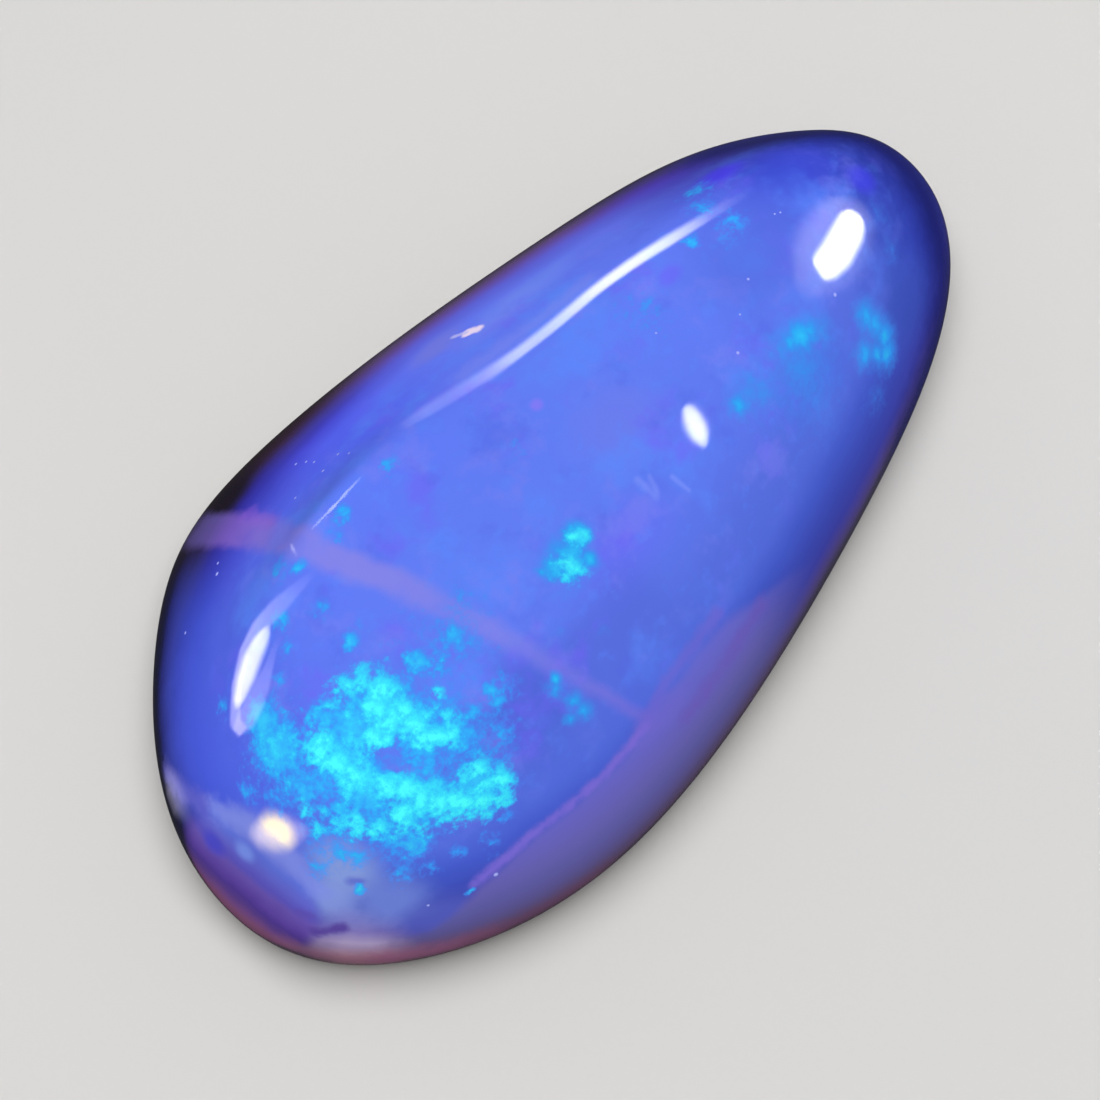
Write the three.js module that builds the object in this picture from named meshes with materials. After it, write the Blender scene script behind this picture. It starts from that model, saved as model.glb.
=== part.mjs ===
// A polished free-form opal: one solid stone with a gently domed face, soft
// shoulders, walls that lean in above and below the girdle, and a flat base.
//
// Millimetres, +Z up. +X runs along the stone towards its narrow end. The origin
// is on the surface that the stone rests on, under the middle of its outline.

import * as THREE from "three";
import { mergeVertices } from "three/addons/utils/BufferGeometryUtils.js";

// Driving dimensions, in millimetres and degrees

// The girdle, where the stone is widest, is an ellipse that is pushed in and out:
// each number is its reach as a share of the ellipse, at even steps anticlockwise
// from the narrow tip.
const HALF_LENGTH = 9.0;
const HALF_WIDTH = 4.7;
const GIRDLE_REACH = [
  0.985, 0.94, 0.92, 0.84, 0.91, 1.06, 1.04, 0.985,
  0.985, 1.03, 1.075, 1.065, 0.96, 0.915, 0.97, 1.015,
];
const GIRDLE_HEIGHT = 1.6;
const GIRDLE_ROUND = 1.4; // how softly the walls above and below it meet

// The broad waves of the girdle run up to the face, its finer ones fade out inwards
const BROAD_WAVES = 3;
const FINE_FADE = 6; // power of the distance from the middle
const FADE_LIMIT = 1.3;

// Lean of the walls off the vertical. The upper wall leans most on the +Y flank.
const WALL_LEAN = { mean: 39, flank: 6 };
const UNDERSIDE_LEAN = 22;
const BASE_ROUND = 0.8; // how softly the wall runs into the flat base

// The face is a shallow dome that falls away from its highest point
const FACE_HEIGHT = 5.4;
const FACE_PEAK = { x: -1.2, y: -0.2 };
const FACE_FALL = { x: 0.014, y: 0.05 }; // drop per square millimetre from the peak

// The shoulder between face and wall is tighter on the +Y flank, and crisp in one stretch
const SHOULDER_ROUND = { mean: 1.6, flank: 0.5 };
const CRISP = { x: -3.4, y: 2.1, halfLength: 2.0, halfWidth: 1.0, share: 0.85 };

// A small facet ground across the foot of the wide end
const END_FACET = { lean: 22, reach: 8.72, round: 0.2 };

// How finely the surface is divided
const AROUND = 84;
const POLE_TO_POLE = 34;
const HALVINGS = 30;
const OUTER_SHARE = 2; // a point this many half-sizes out is outside the stone

const degToRad = THREE.MathUtils.degToRad;

/** Cosine and sine waves that pass through the girdle's reaches. */
function girdleWaves() {
  const count = GIRDLE_REACH.length;
  const mean = GIRDLE_REACH.reduce((sum, reach) => sum + reach, 0) / count;
  const waves = [];
  for (let order = 1; order <= count / 2; order += 1) {
    const weight = (order === count / 2 ? 1 : 2) / count;
    const turn = (i) => (2 * Math.PI * order * i) / count;
    const cosine = GIRDLE_REACH.reduce((sum, reach, i) => sum + reach * Math.cos(turn(i)), 0);
    const sine = GIRDLE_REACH.reduce((sum, reach, i) => sum + reach * Math.sin(turn(i)), 0);
    waves.push({ order, cosine: cosine * weight, sine: sine * weight });
  }
  return { mean, waves };
}

const girdle = girdleWaves();

/** Distance from a point to the girdle in plan, positive inside it. */
function depthInPlan(x, y) {
  const across = { x: x / HALF_LENGTH, y: y / HALF_WIDTH };
  const out = Math.hypot(across.x, across.y);
  const turn = Math.atan2(across.y, across.x);
  let broad = girdle.mean;
  let slope = 0;
  let fine = 0;
  for (const { order, cosine, sine } of girdle.waves) {
    const c = Math.cos(order * turn);
    const s = Math.sin(order * turn);
    if (order <= BROAD_WAVES) {
      broad += cosine * c + sine * s;
      slope += order * (sine * c - cosine * s);
    } else {
      fine += cosine * c + sine * s;
    }
  }
  const bend = slope / broad ** 2;
  const rateX = (Math.cos(turn) / broad + bend * Math.sin(turn)) / HALF_LENGTH;
  const rateY = (Math.sin(turn) / broad - bend * Math.cos(turn)) / HALF_WIDTH;
  const reach = broad + fine * Math.min(out, FADE_LIMIT) ** FINE_FADE;
  return (reach - out) / broad / Math.hypot(rateX, rateY);
}

/** The smaller of two depths, blended where they differ by less than the rounding. */
function softMin(a, b, rounding) {
  const share = Math.max(1 - Math.abs(a - b) / rounding, 0);
  return Math.min(a, b) - (share ** 3 * rounding) / 6;
}

/** Which flank a point is on: 1 on the +Y side, -1 on the other, 0 at the two ends. */
function flankOf(x, y) {
  return Math.sin(Math.atan2(y / HALF_WIDTH, x / HALF_LENGTH));
}

/** Depth behind the wall, which leans in above the girdle and below it. */
function wallDepth(x, y, z) {
  const lean = degToRad(WALL_LEAN.mean + WALL_LEAN.flank * flankOf(x, y));
  const rise = z - GIRDLE_HEIGHT;
  const bend = Math.hypot(rise, GIRDLE_ROUND) - GIRDLE_ROUND;
  const above = (Math.tan(lean) * (bend + rise)) / 2;
  const below = (Math.tan(degToRad(UNDERSIDE_LEAN)) * (bend - rise)) / 2;
  return (depthInPlan(x, y) - above - below) * Math.cos(lean);
}

/** Depth under the domed face. */
function faceDepth(x, y, z) {
  const along = x - FACE_PEAK.x;
  const across = y - FACE_PEAK.y;
  const face = FACE_HEIGHT - FACE_FALL.x * along ** 2 - FACE_FALL.y * across ** 2;
  return (face - z) / Math.hypot(1, 2 * FACE_FALL.x * along, 2 * FACE_FALL.y * across);
}

/** Depth behind the small facet at the wide end. */
function facetDepth(x, z) {
  const lean = degToRad(END_FACET.lean);
  return END_FACET.reach + x * Math.cos(lean) - z * Math.sin(lean);
}

/** How softly the face and the wall meet beside a point. */
function shoulderRounding(x, y) {
  const along = (x - CRISP.x) / CRISP.halfLength;
  const across = (y - CRISP.y) / CRISP.halfWidth;
  const crisp = CRISP.share * Math.exp(-(along ** 2) - across ** 2);
  return (SHOULDER_ROUND.mean - SHOULDER_ROUND.flank * flankOf(x, y)) * (1 - crisp);
}

/** How far a point is inside the stone, negative outside it. */
function depth({ x, y, z }) {
  const dome = softMin(wallDepth(x, y, z), faceDepth(x, y, z), shoulderRounding(x, y));
  const faceted = softMin(dome, facetDepth(x, z), END_FACET.round);
  return softMin(faceted, z, BASE_ROUND);
}

/** The stone: a ball whose points are each pushed out to the stone's surface. */
function stoneGeometry() {
  const ball = new THREE.SphereGeometry(1, AROUND, POLE_TO_POLE);
  ball.rotateX(Math.PI / 2);
  ball.deleteAttribute("normal");
  ball.deleteAttribute("uv");
  const stone = mergeVertices(ball, 1e-5);
  const halfSize = new THREE.Vector3(HALF_LENGTH, HALF_WIDTH, FACE_HEIGHT / 2);
  const middle = new THREE.Vector3(0, 0, FACE_HEIGHT / 2);
  const points = stone.getAttribute("position");
  const way = new THREE.Vector3();
  const spot = new THREE.Vector3();
  for (let i = 0; i < points.count; i += 1) {
    way.fromBufferAttribute(points, i).multiply(halfSize);
    let inner = 0;
    let outer = OUTER_SHARE;
    for (let halving = 0; halving < HALVINGS; halving += 1) {
      const share = (inner + outer) / 2;
      const isInside = depth(spot.copy(middle).addScaledVector(way, share)) > 0;
      if (isInside) inner = share;
      else outer = share;
    }
    spot.copy(middle).addScaledVector(way, inner);
    points.setXYZ(i, spot.x, spot.y, spot.z);
  }
  return stone;
}

const opal = new THREE.Mesh(
  stoneGeometry(),
  new THREE.MeshStandardMaterial({ name: "opal", color: 0x6478e8, roughness: 0.08, metalness: 0 }),
);
opal.name = "opal";

const part = new THREE.Group();
part.add(opal);

export default part;
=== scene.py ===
"""A polished free-form opal that lies on a pale floor: its fine surface, its finish and its studio.

Objects are in metres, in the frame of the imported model: +X runs along the stone towards its narrow
end, +Z up through its domed face, and the stone rests on z = 0. Sizes of the stone and places on it
are in millimetres, as a cutter gives them, and colours are screen colours from 0 to 255.
"""

import logging
import math
from dataclasses import dataclass
from enum import Enum
from typing import Union

import bmesh
import bpy
import numpy as np
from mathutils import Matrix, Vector


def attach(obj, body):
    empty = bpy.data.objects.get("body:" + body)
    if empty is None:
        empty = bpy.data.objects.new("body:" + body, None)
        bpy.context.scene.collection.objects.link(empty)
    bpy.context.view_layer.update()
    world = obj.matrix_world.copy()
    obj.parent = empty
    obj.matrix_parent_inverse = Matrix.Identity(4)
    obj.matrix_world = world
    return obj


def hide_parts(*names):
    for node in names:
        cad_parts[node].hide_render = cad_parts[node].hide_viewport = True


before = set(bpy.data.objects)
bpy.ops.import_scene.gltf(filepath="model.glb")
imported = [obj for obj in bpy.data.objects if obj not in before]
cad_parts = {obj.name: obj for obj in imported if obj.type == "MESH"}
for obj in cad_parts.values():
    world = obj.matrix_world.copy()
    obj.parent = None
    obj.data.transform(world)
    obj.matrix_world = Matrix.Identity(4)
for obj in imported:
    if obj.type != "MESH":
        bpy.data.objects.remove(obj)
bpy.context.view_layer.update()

MM = 0.001

# The curve from screen colours to light: straight up to its knee, and a power above it
SCREEN_WHITE = 255
SCREEN_KNEE = 0.04045
SCREEN_SLOPE = 12.92
SCREEN_OFFSET = 0.055
SCREEN_POWER = 2.4

# Noise runs from 0 to 1 around this
NOISE_MIDDLE = 0.5

Spot = tuple[float, float, float]
Span = tuple[float, float]
Course = tuple[tuple[float, float], ...]
Value = Union[bpy.types.NodeSocket, float]
Place = Union[bpy.types.NodeSocket, Vector, Spot]

log = logging.getLogger("opal")


@dataclass(frozen=True)
class Tint:
    """A colour as it looks on a screen, each part from 0 to 255."""

    red: float
    green: float
    blue: float

    def linear(self) -> tuple[float, float, float, float]:
        """Work out the light that the colour stands for.

        Returns:
            The colour as the linear light that a shader works with, and an alpha of 1.
        """
        parts = [part / SCREEN_WHITE for part in (self.red, self.green, self.blue)]
        light = [
            part / SCREEN_SLOPE if part <= SCREEN_KNEE
            else ((part + SCREEN_OFFSET) / (1 + SCREEN_OFFSET)) ** SCREEN_POWER
            for part in parts
        ]
        return (*light, 1.0)


# Colours in order, each with the value that it belongs to
Stops = tuple[tuple[float, Tint], ...]

WHITE = Tint(255, 255, 255)


class Glow(Enum):
    """How strongly play of colour shines in the middle of a lobe."""

    BRIGHT = 1.25
    FULL = 1.0
    MID = 0.7
    DIM = 0.45
    FAINT = 0.24


# Their bare names, for the long rows of lobes
BRIGHT, FULL, MID, DIM, FAINT = Glow


@dataclass(frozen=True)
class Lobe:
    """One round lobe of a patch, by its place on the stone seen from above."""

    x: float
    y: float
    radius: float
    glow: Glow = BRIGHT


@dataclass(frozen=True)
class Flakes:
    """One layer of play of colour: where it shines, where it is pierced and how rough it looks."""

    lobes: tuple[Lobe, ...]
    # Colours by glow, from the faint edge of a flake to its middle
    stops: Stops
    # The glow at which a flake covers the body fully
    full_at: float
    # How deep fine grain cuts into the glow, how far its edges wander in millimetres, and how lobes melt
    grain: float
    wander: float
    melt: float
    gaps: tuple[Lobe, ...] = ()


@dataclass(frozen=True)
class Lumps:
    """Cloudy noise that makes a colour, an edge or a level uneven."""

    per_mm: float
    # How many finer layers it has, and how strong they are
    detail: float
    rough: float = 0.55
    # How far it pushes from its lowest to its highest
    size: float = 1.0


@dataclass(frozen=True)
class Mottle:
    """Faint blotches of one tint in the face."""

    tint: Tint
    lumps: Lumps
    # The noise at which a blotch starts and at which it is full
    edge: Span
    share: float


@dataclass(frozen=True)
class Pool:
    """A soft cloud of one colour: most lie inside the stone, and one is a painted highlight."""

    name: str
    middle: Spot
    reach: Spot
    tint: Tint
    share: float


@dataclass(frozen=True)
class Streak:
    """A soft stroke of one colour through a row of spots on the stone."""

    name: str
    spots: tuple[Spot, ...]
    half_width: float
    tint: Tint
    share: float
    soft: float = 1.0


class Recipe:
    """Lays out the nodes of one material, or of the sky, from plain sums."""

    def __init__(self, owner: Union[bpy.types.Material, bpy.types.World]) -> None:
        """Start from a bare node tree.

        Args:
            owner: the material or the world whose nodes are laid out.
        """
        owner.use_nodes = True
        self.tree = owner.node_tree
        self.tree.nodes.clear()

    def node(self, kind: str, inputs: dict, **settings: object) -> bpy.types.Node:
        """Add a node.

        Args:
            kind: the node's type, without its leading "ShaderNode".
            inputs: a value, a tint or a socket for each input, by name or number.
            settings: the node's own properties.

        Returns:
            The new node.
        """
        made = self.tree.nodes.new("ShaderNode" + kind)
        for name, value in settings.items():
            setattr(made, name, value)
        for name, value in inputs.items():
            if isinstance(value, bpy.types.NodeSocket):
                self.tree.links.new(value, made.inputs[name])
            else:
                made.inputs[name].default_value = value.linear() if isinstance(value, Tint) else value
        return made

    def sum(self, operation: str, first: Value, second: Value = 0.0, third: Value = 0.0) -> Value:
        """Work out one sum, such as ADD, MULTIPLY or MAXIMUM, and give its result."""
        return self.node("Math", {0: first, 1: second, 2: third}, operation=operation).outputs[0]

    def span(self, first: Place, second: Place) -> Value:
        """Give the distance between two places."""
        return self.node("VectorMath", {0: first, 1: second}, operation="DISTANCE").outputs["Value"]

    def shift(self, first: Place, second: Place, operation: str = "ADD") -> Place:
        """Combine two vectors part by part and give the result."""
        return self.node("VectorMath", {0: first, 1: second}, operation=operation).outputs["Vector"]

    def scaled(self, vector: Place, factor: Value) -> Place:
        """Multiply every part of a vector or colour by one number."""
        return self.node("VectorMath", {0: vector, "Scale": factor}, operation="SCALE").outputs["Vector"]

    def span_to_line(self, place: Place, start: Vector, end: Vector) -> Value:
        """Measure how far a place is from a straight line between two spots.

        Args:
            place: the place.
            start: the line's first end.
            end: its other end.

        Returns:
            The distance to the nearest point of the line.
        """
        along = end - start
        rate = tuple(along / along.length_squared)
        away = self.shift(place, tuple(-start))
        gone = self.node("VectorMath", {0: away, 1: rate}, operation="DOT_PRODUCT").outputs["Value"]
        share = self.node("Clamp", {"Value": gone}).outputs["Result"]
        return self.span(away, self.scaled(tuple(along), share))

    def step(self, value: Value, low: float, high: float, top: float = 1.0) -> Value:
        """Rise smoothly from 0 to a top.

        Args:
            value: what is looked at.
            low: where the rise starts.
            high: where it ends. A high below the low gives a fall.
            top: the result past the rise.

        Returns:
            The smooth step.
        """
        ends = {"From Min": min(low, high), "From Max": max(low, high)}
        ends["To Min"], ends["To Max"] = (0.0, top) if high > low else (top, 0.0)
        kind = {"interpolation_type": "SMOOTHSTEP"}
        return self.node("MapRange", {"Value": value, **ends}, **kind).outputs["Result"]

    def cloudy(self, place: Place, lumps: Lumps) -> bpy.types.NodeOutputs:
        """Sample noise at a place in millimetres, and give it as a number and as a colour."""
        inputs = {"Vector": place, "Scale": lumps.per_mm, "Detail": lumps.detail, "Roughness": lumps.rough}
        return self.node("TexNoise", inputs, normalize=True).outputs

    def noise(self, place: Place, lumps: Lumps) -> Value:
        """Give noise as one number from 0 to 1."""
        return self.cloudy(place, lumps)[0]

    def blend(self, share: Value, first: Union[Value, Tint], second: Union[Value, Tint]) -> Value:
        """Mix two colours.

        Args:
            share: how much of the second colour shows, from 0 to 1.
            first: the colour where the share is 0.
            second: the colour where it is 1.

        Returns:
            The mixed colour.
        """
        # A mix of colours has them at its inputs 6 and 7, and its result at output 2
        inputs = {0: share, 6: first, 7: second}
        kind = {"data_type": "RGBA", "blend_type": "MIX", "clamp_factor": True}
        return self.node("Mix", inputs, **kind).outputs[2]

    def profile(self, value: Value, knots: Course) -> Value:
        """Run through numbers in order, straight between them.

        Args:
            value: what is looked at.
            knots: each place along the value with the number that belongs to it, lowest first.

        Returns:
            The number for the value.
        """
        first, last = knots[0][0], knots[-1][0]
        numbers = [number for _, number in knots]
        low, high = min(numbers), max(numbers)
        ends = {"From Min": first, "From Max": last}
        scaled = self.node("MapRange", {"Value": value, **ends}).outputs["Result"]
        curve = self.node("FloatCurve", {"Value": scaled})
        line = curve.mapping.curves[0]
        # New points start in the middle, and each gets its place below
        while len(line.points) < len(knots):
            line.points.new(0.5, 0.5)
        for point, (at, number) in zip(line.points, knots):
            point.location = ((at - first) / (last - first), (number - low) / (high - low))
            point.handle_type = "VECTOR"
        curve.mapping.update()
        return self.sum("MULTIPLY_ADD", curve.outputs["Value"], high - low, low)

    def ramp(self, value: Value, stops: Stops) -> Value:
        """Run through colours in order.

        Args:
            value: what is looked at.
            stops: each colour with the value that it belongs to, lowest first.

        Returns:
            The colour for the value.
        """
        low, high = stops[0][0], stops[-1][0]
        ends = {"From Min": low, "From Max": high}
        scaled = self.node("MapRange", {"Value": value, **ends}).outputs["Result"]
        made = self.node("ValToRGB", {"Fac": scaled})
        elements = made.color_ramp.elements
        # New colours start in the middle, and each gets its place below
        while len(elements) < len(stops):
            elements.new(0.5)
        for element, (at, tint) in zip(elements, stops):
            element.position = (at - low) / (high - low)
            element.color = tint.linear()
        return made.outputs["Color"]


class StoneRecipe(Recipe):
    """Lays out the nodes of a material that depends on the place in the stone."""

    def __init__(self, owner: bpy.types.Material) -> None:
        """Start with the place in the stone and the surface's outward direction there.

        Args:
            owner: the material whose nodes are laid out.
        """
        super().__init__(owner)
        coordinates = self.node("TexCoord", {}).outputs
        self.outward = coordinates["Normal"]
        # The place, and its x, y and z, in millimetres
        self.place = self.shift(coordinates["Object"], (1 / MM, 1 / MM, 1 / MM), "MULTIPLY")
        parts = self.node("SeparateXYZ", {"Vector": self.place}).outputs
        self.x, self.y, self.z = parts["X"], parts["Y"], parts["Z"]

    def uneven(self, value: Value, lumps: Lumps) -> Value:
        """Push a number up and down by lumps of noise and give the result."""
        lowest = self.sum("SUBTRACT", value, lumps.size / 2)
        return self.sum("MULTIPLY_ADD", self.noise(self.place, lumps), lumps.size, lowest)


def add_object(name: str, data: bpy.types.ID) -> bpy.types.Object:
    """Add an object to the scene.

    Args:
        name: its name.
        data: its mesh, light or camera.

    Returns:
        The new object.
    """
    made = bpy.data.objects.new(name, data)
    bpy.context.scene.collection.objects.link(made)
    return made


@dataclass(frozen=True)
class Girdle:
    """The outline where the stone is widest: an ellipse that is pushed in and out."""

    half_length: float = 9.0
    half_width: float = 4.7
    # Reach as a share of the ellipse, at even steps anticlockwise from the narrow tip
    reach: tuple[float, ...] = (
        0.985, 0.94, 0.92, 0.84, 0.91, 1.06, 1.04, 0.985,
        0.985, 1.03, 1.075, 1.065, 0.96, 0.915, 0.97, 1.015,
    )
    # The broad waves run up to the face, and the finer ones fade out inwards
    broad_waves: int = 3
    fine_fade: float = 6.0
    fade_limit: float = 1.3
    # Keeps the middle of the stone, where the outline has no direction, out of the sums
    least_out: float = 1e-9

    def waves(self) -> list[tuple[int, float, float]]:
        """Work out the waves that the reaches add up to.

        Returns:
            The order, cosine and sine of each wave.
        """
        count = len(self.reach)
        turns = np.arange(count) * 2 * math.pi / count
        found = []
        for order in range(1, count // 2 + 1):
            weight = (1 if order == count // 2 else 2) / count
            cosine = weight * float(np.dot(np.cos(order * turns), self.reach))
            sine = weight * float(np.dot(np.sin(order * turns), self.reach))
            found.append((order, cosine, sine))
        return found

    def turn(self, x: np.ndarray, y: np.ndarray) -> np.ndarray:
        """Give the angle round the stone, in the circle that the ellipse is stretched from."""
        return np.arctan2(y / self.half_width, x / self.half_length)

    def depth(self, x: np.ndarray, y: np.ndarray) -> np.ndarray:
        """Measure how far places are inside the outline.

        Args:
            x: places along the stone, in millimetres.
            y: places across it.

        Returns:
            The distances to the outline, negative outside it.
        """
        out = np.maximum(np.hypot(x / self.half_length, y / self.half_width), self.least_out)
        turn = self.turn(x, y)
        broad = np.full_like(out, float(np.mean(self.reach)))
        slope = np.zeros_like(out)
        fine = np.zeros_like(out)
        for order, cosine, sine in self.waves():
            c, s = np.cos(order * turn), np.sin(order * turn)
            if order <= self.broad_waves:
                broad += cosine * c + sine * s
                slope += order * (sine * c - cosine * s)
            else:
                fine += cosine * c + sine * s
        bend = slope / broad**2
        rate_x = (np.cos(turn) / broad + bend * np.sin(turn)) / self.half_length
        rate_y = (np.sin(turn) / broad - bend * np.cos(turn)) / self.half_width
        reach = broad + fine * np.minimum(out, self.fade_limit) ** self.fine_fade
        return (reach - out) / broad / np.hypot(rate_x, rate_y)


def soft_min(a: np.ndarray, b: np.ndarray, rounding: Union[np.ndarray, float]) -> np.ndarray:
    """Give the smaller of two depths, blended where they differ by less than the rounding."""
    share = np.clip(1 - np.abs(a - b) / rounding, 0, 1)
    return np.minimum(a, b) - share**3 * rounding / 6


@dataclass
class PolishedStone:
    """The stone's surface: a domed face, soft shoulders, leaning walls and a flat base."""

    girdle: Girdle = Girdle()
    girdle_height: float = 1.6
    girdle_round: float = 1.4
    # Lean of the walls off the vertical, in degrees. The upper wall leans most on the +Y flank.
    wall_lean: float = 39.0
    wall_lean_flank: float = 6.0
    underside_lean: float = 22.0
    base_round: float = 0.8
    # The face is a shallow dome that falls away from its highest point
    face_height: float = 5.4
    peak_x: float = -1.2
    peak_y: float = -0.2
    fall_x: float = 0.014
    fall_y: float = 0.05
    # The shoulder is tighter on the +Y flank, and crisp in one stretch of it
    shoulder_round: float = 1.6
    shoulder_round_flank: float = 0.5
    crisp_x: float = -3.4
    crisp_y: float = 2.1
    crisp_half_length: float = 2.0
    crisp_half_width: float = 1.0
    crisp_share: float = 0.85
    # A small facet ground across the foot of the wide end
    facet_lean: float = 22.0
    facet_reach: float = 8.72
    facet_round: float = 0.2
    # How finely the surface is divided
    ball_levels: int = 7
    halvings: int = 30
    # A point this many half-sizes out is outside the stone
    outer_share: float = 2.0
    # How far apart two depths are taken to find the surface's direction
    probe: float = 0.002

    def depth(self, spots: np.ndarray) -> np.ndarray:
        """Measure how far points are inside the stone.

        Args:
            spots: rows of x, y and z in millimetres.

        Returns:
            One depth for each row, negative outside the stone.
        """
        x, y, z = spots[..., 0], spots[..., 1], spots[..., 2]
        flank = np.sin(self.girdle.turn(x, y))
        lean = np.radians(self.wall_lean + self.wall_lean_flank * flank)
        rise = z - self.girdle_height
        bend = np.hypot(rise, self.girdle_round) - self.girdle_round
        above = np.tan(lean) * (bend + rise) / 2
        below = math.tan(math.radians(self.underside_lean)) * (bend - rise) / 2
        wall = (self.girdle.depth(x, y) - above - below) * np.cos(lean)

        along, across = x - self.peak_x, y - self.peak_y
        face = self.face_height - self.fall_x * along**2 - self.fall_y * across**2
        steep = np.hypot(2 * self.fall_x * along, 2 * self.fall_y * across)
        crown = (face - z) / np.hypot(1, steep)

        crisp_at = ((x - self.crisp_x) / self.crisp_half_length) ** 2
        crisp_at = crisp_at + ((y - self.crisp_y) / self.crisp_half_width) ** 2
        rounding = self.shoulder_round - self.shoulder_round_flank * flank
        rounding = rounding * (1 - self.crisp_share * np.exp(-crisp_at))
        dome = soft_min(wall, crown, rounding)

        tilt = math.radians(self.facet_lean)
        facet = self.facet_reach + x * math.cos(tilt) - z * math.sin(tilt)
        return soft_min(soft_min(dome, facet, self.facet_round), z, self.base_round)

    def surface(self, start: np.ndarray, ways: np.ndarray) -> np.ndarray:
        """Follow rays from inside the stone out to its surface, by halving.

        Args:
            start: where the rays start, in millimetres.
            ways: each ray's way, long enough to end outside the stone.

        Returns:
            The points where the rays leave the stone.
        """
        inner, outer = np.zeros(len(ways)), np.ones(len(ways))
        for _ in range(self.halvings):
            middle = (inner + outer) / 2
            inside = self.depth(start + ways * middle[:, None]) > 0
            inner = np.where(inside, middle, inner)
            outer = np.where(inside, outer, middle)
        return start + ways * inner[:, None]

    def normals(self, spots: np.ndarray) -> np.ndarray:
        """Give the outward directions of the surface at points on it.

        Args:
            spots: the points, as rows of x, y and z in millimetres.

        Returns:
            A unit vector for each row.
        """
        steps = np.eye(3) * self.probe
        slopes = [self.depth(spots - step) - self.depth(spots + step) for step in steps]
        outward = np.stack(slopes, axis=-1)
        return outward / np.linalg.norm(outward, axis=-1, keepdims=True)

    def tops(self, x: np.ndarray, y: np.ndarray) -> tuple[np.ndarray, np.ndarray]:
        """Find the upper surface above places.

        Args:
            x: the places along the stone, in millimetres.
            y: the places across it.

        Returns:
            The points on the surface and their outward directions, as rows.
        """
        start = np.stack([x, y, np.full_like(x, self.girdle_height)], axis=-1)
        spots = self.surface(start, np.tile([0.0, 0.0, self.face_height], (len(x), 1)))
        return spots, self.normals(spots)

    def build(self) -> bpy.types.Object:
        """Build the stone: a ball whose points are each pushed out to the surface.

        Returns:
            The stone, riding on the model's body in place of its plain solid.
        """
        mesh = bpy.data.meshes.new("polished_opal")
        ball = bmesh.new()
        bmesh.ops.create_icosphere(ball, subdivisions=self.ball_levels, radius=1.0)
        ball.to_mesh(mesh)
        ball.free()
        flat = np.empty(len(mesh.vertices) * 3)
        mesh.vertices.foreach_get("co", flat)
        half_size = np.array([self.girdle.half_length, self.girdle.half_width, self.face_height / 2])
        middle = np.array([[0.0, 0.0, self.face_height / 2]])
        spots = self.surface(middle, flat.reshape(-1, 3) * half_size * self.outer_share)
        mesh.vertices.foreach_set("co", (spots * MM).ravel())
        mesh.shade_smooth()
        mesh.normals_split_custom_set_from_vertices(self.normals(spots))
        mesh.update()
        stone = add_object("polished_opal", mesh)
        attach(stone, "root")
        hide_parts("opal")
        return stone


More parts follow.
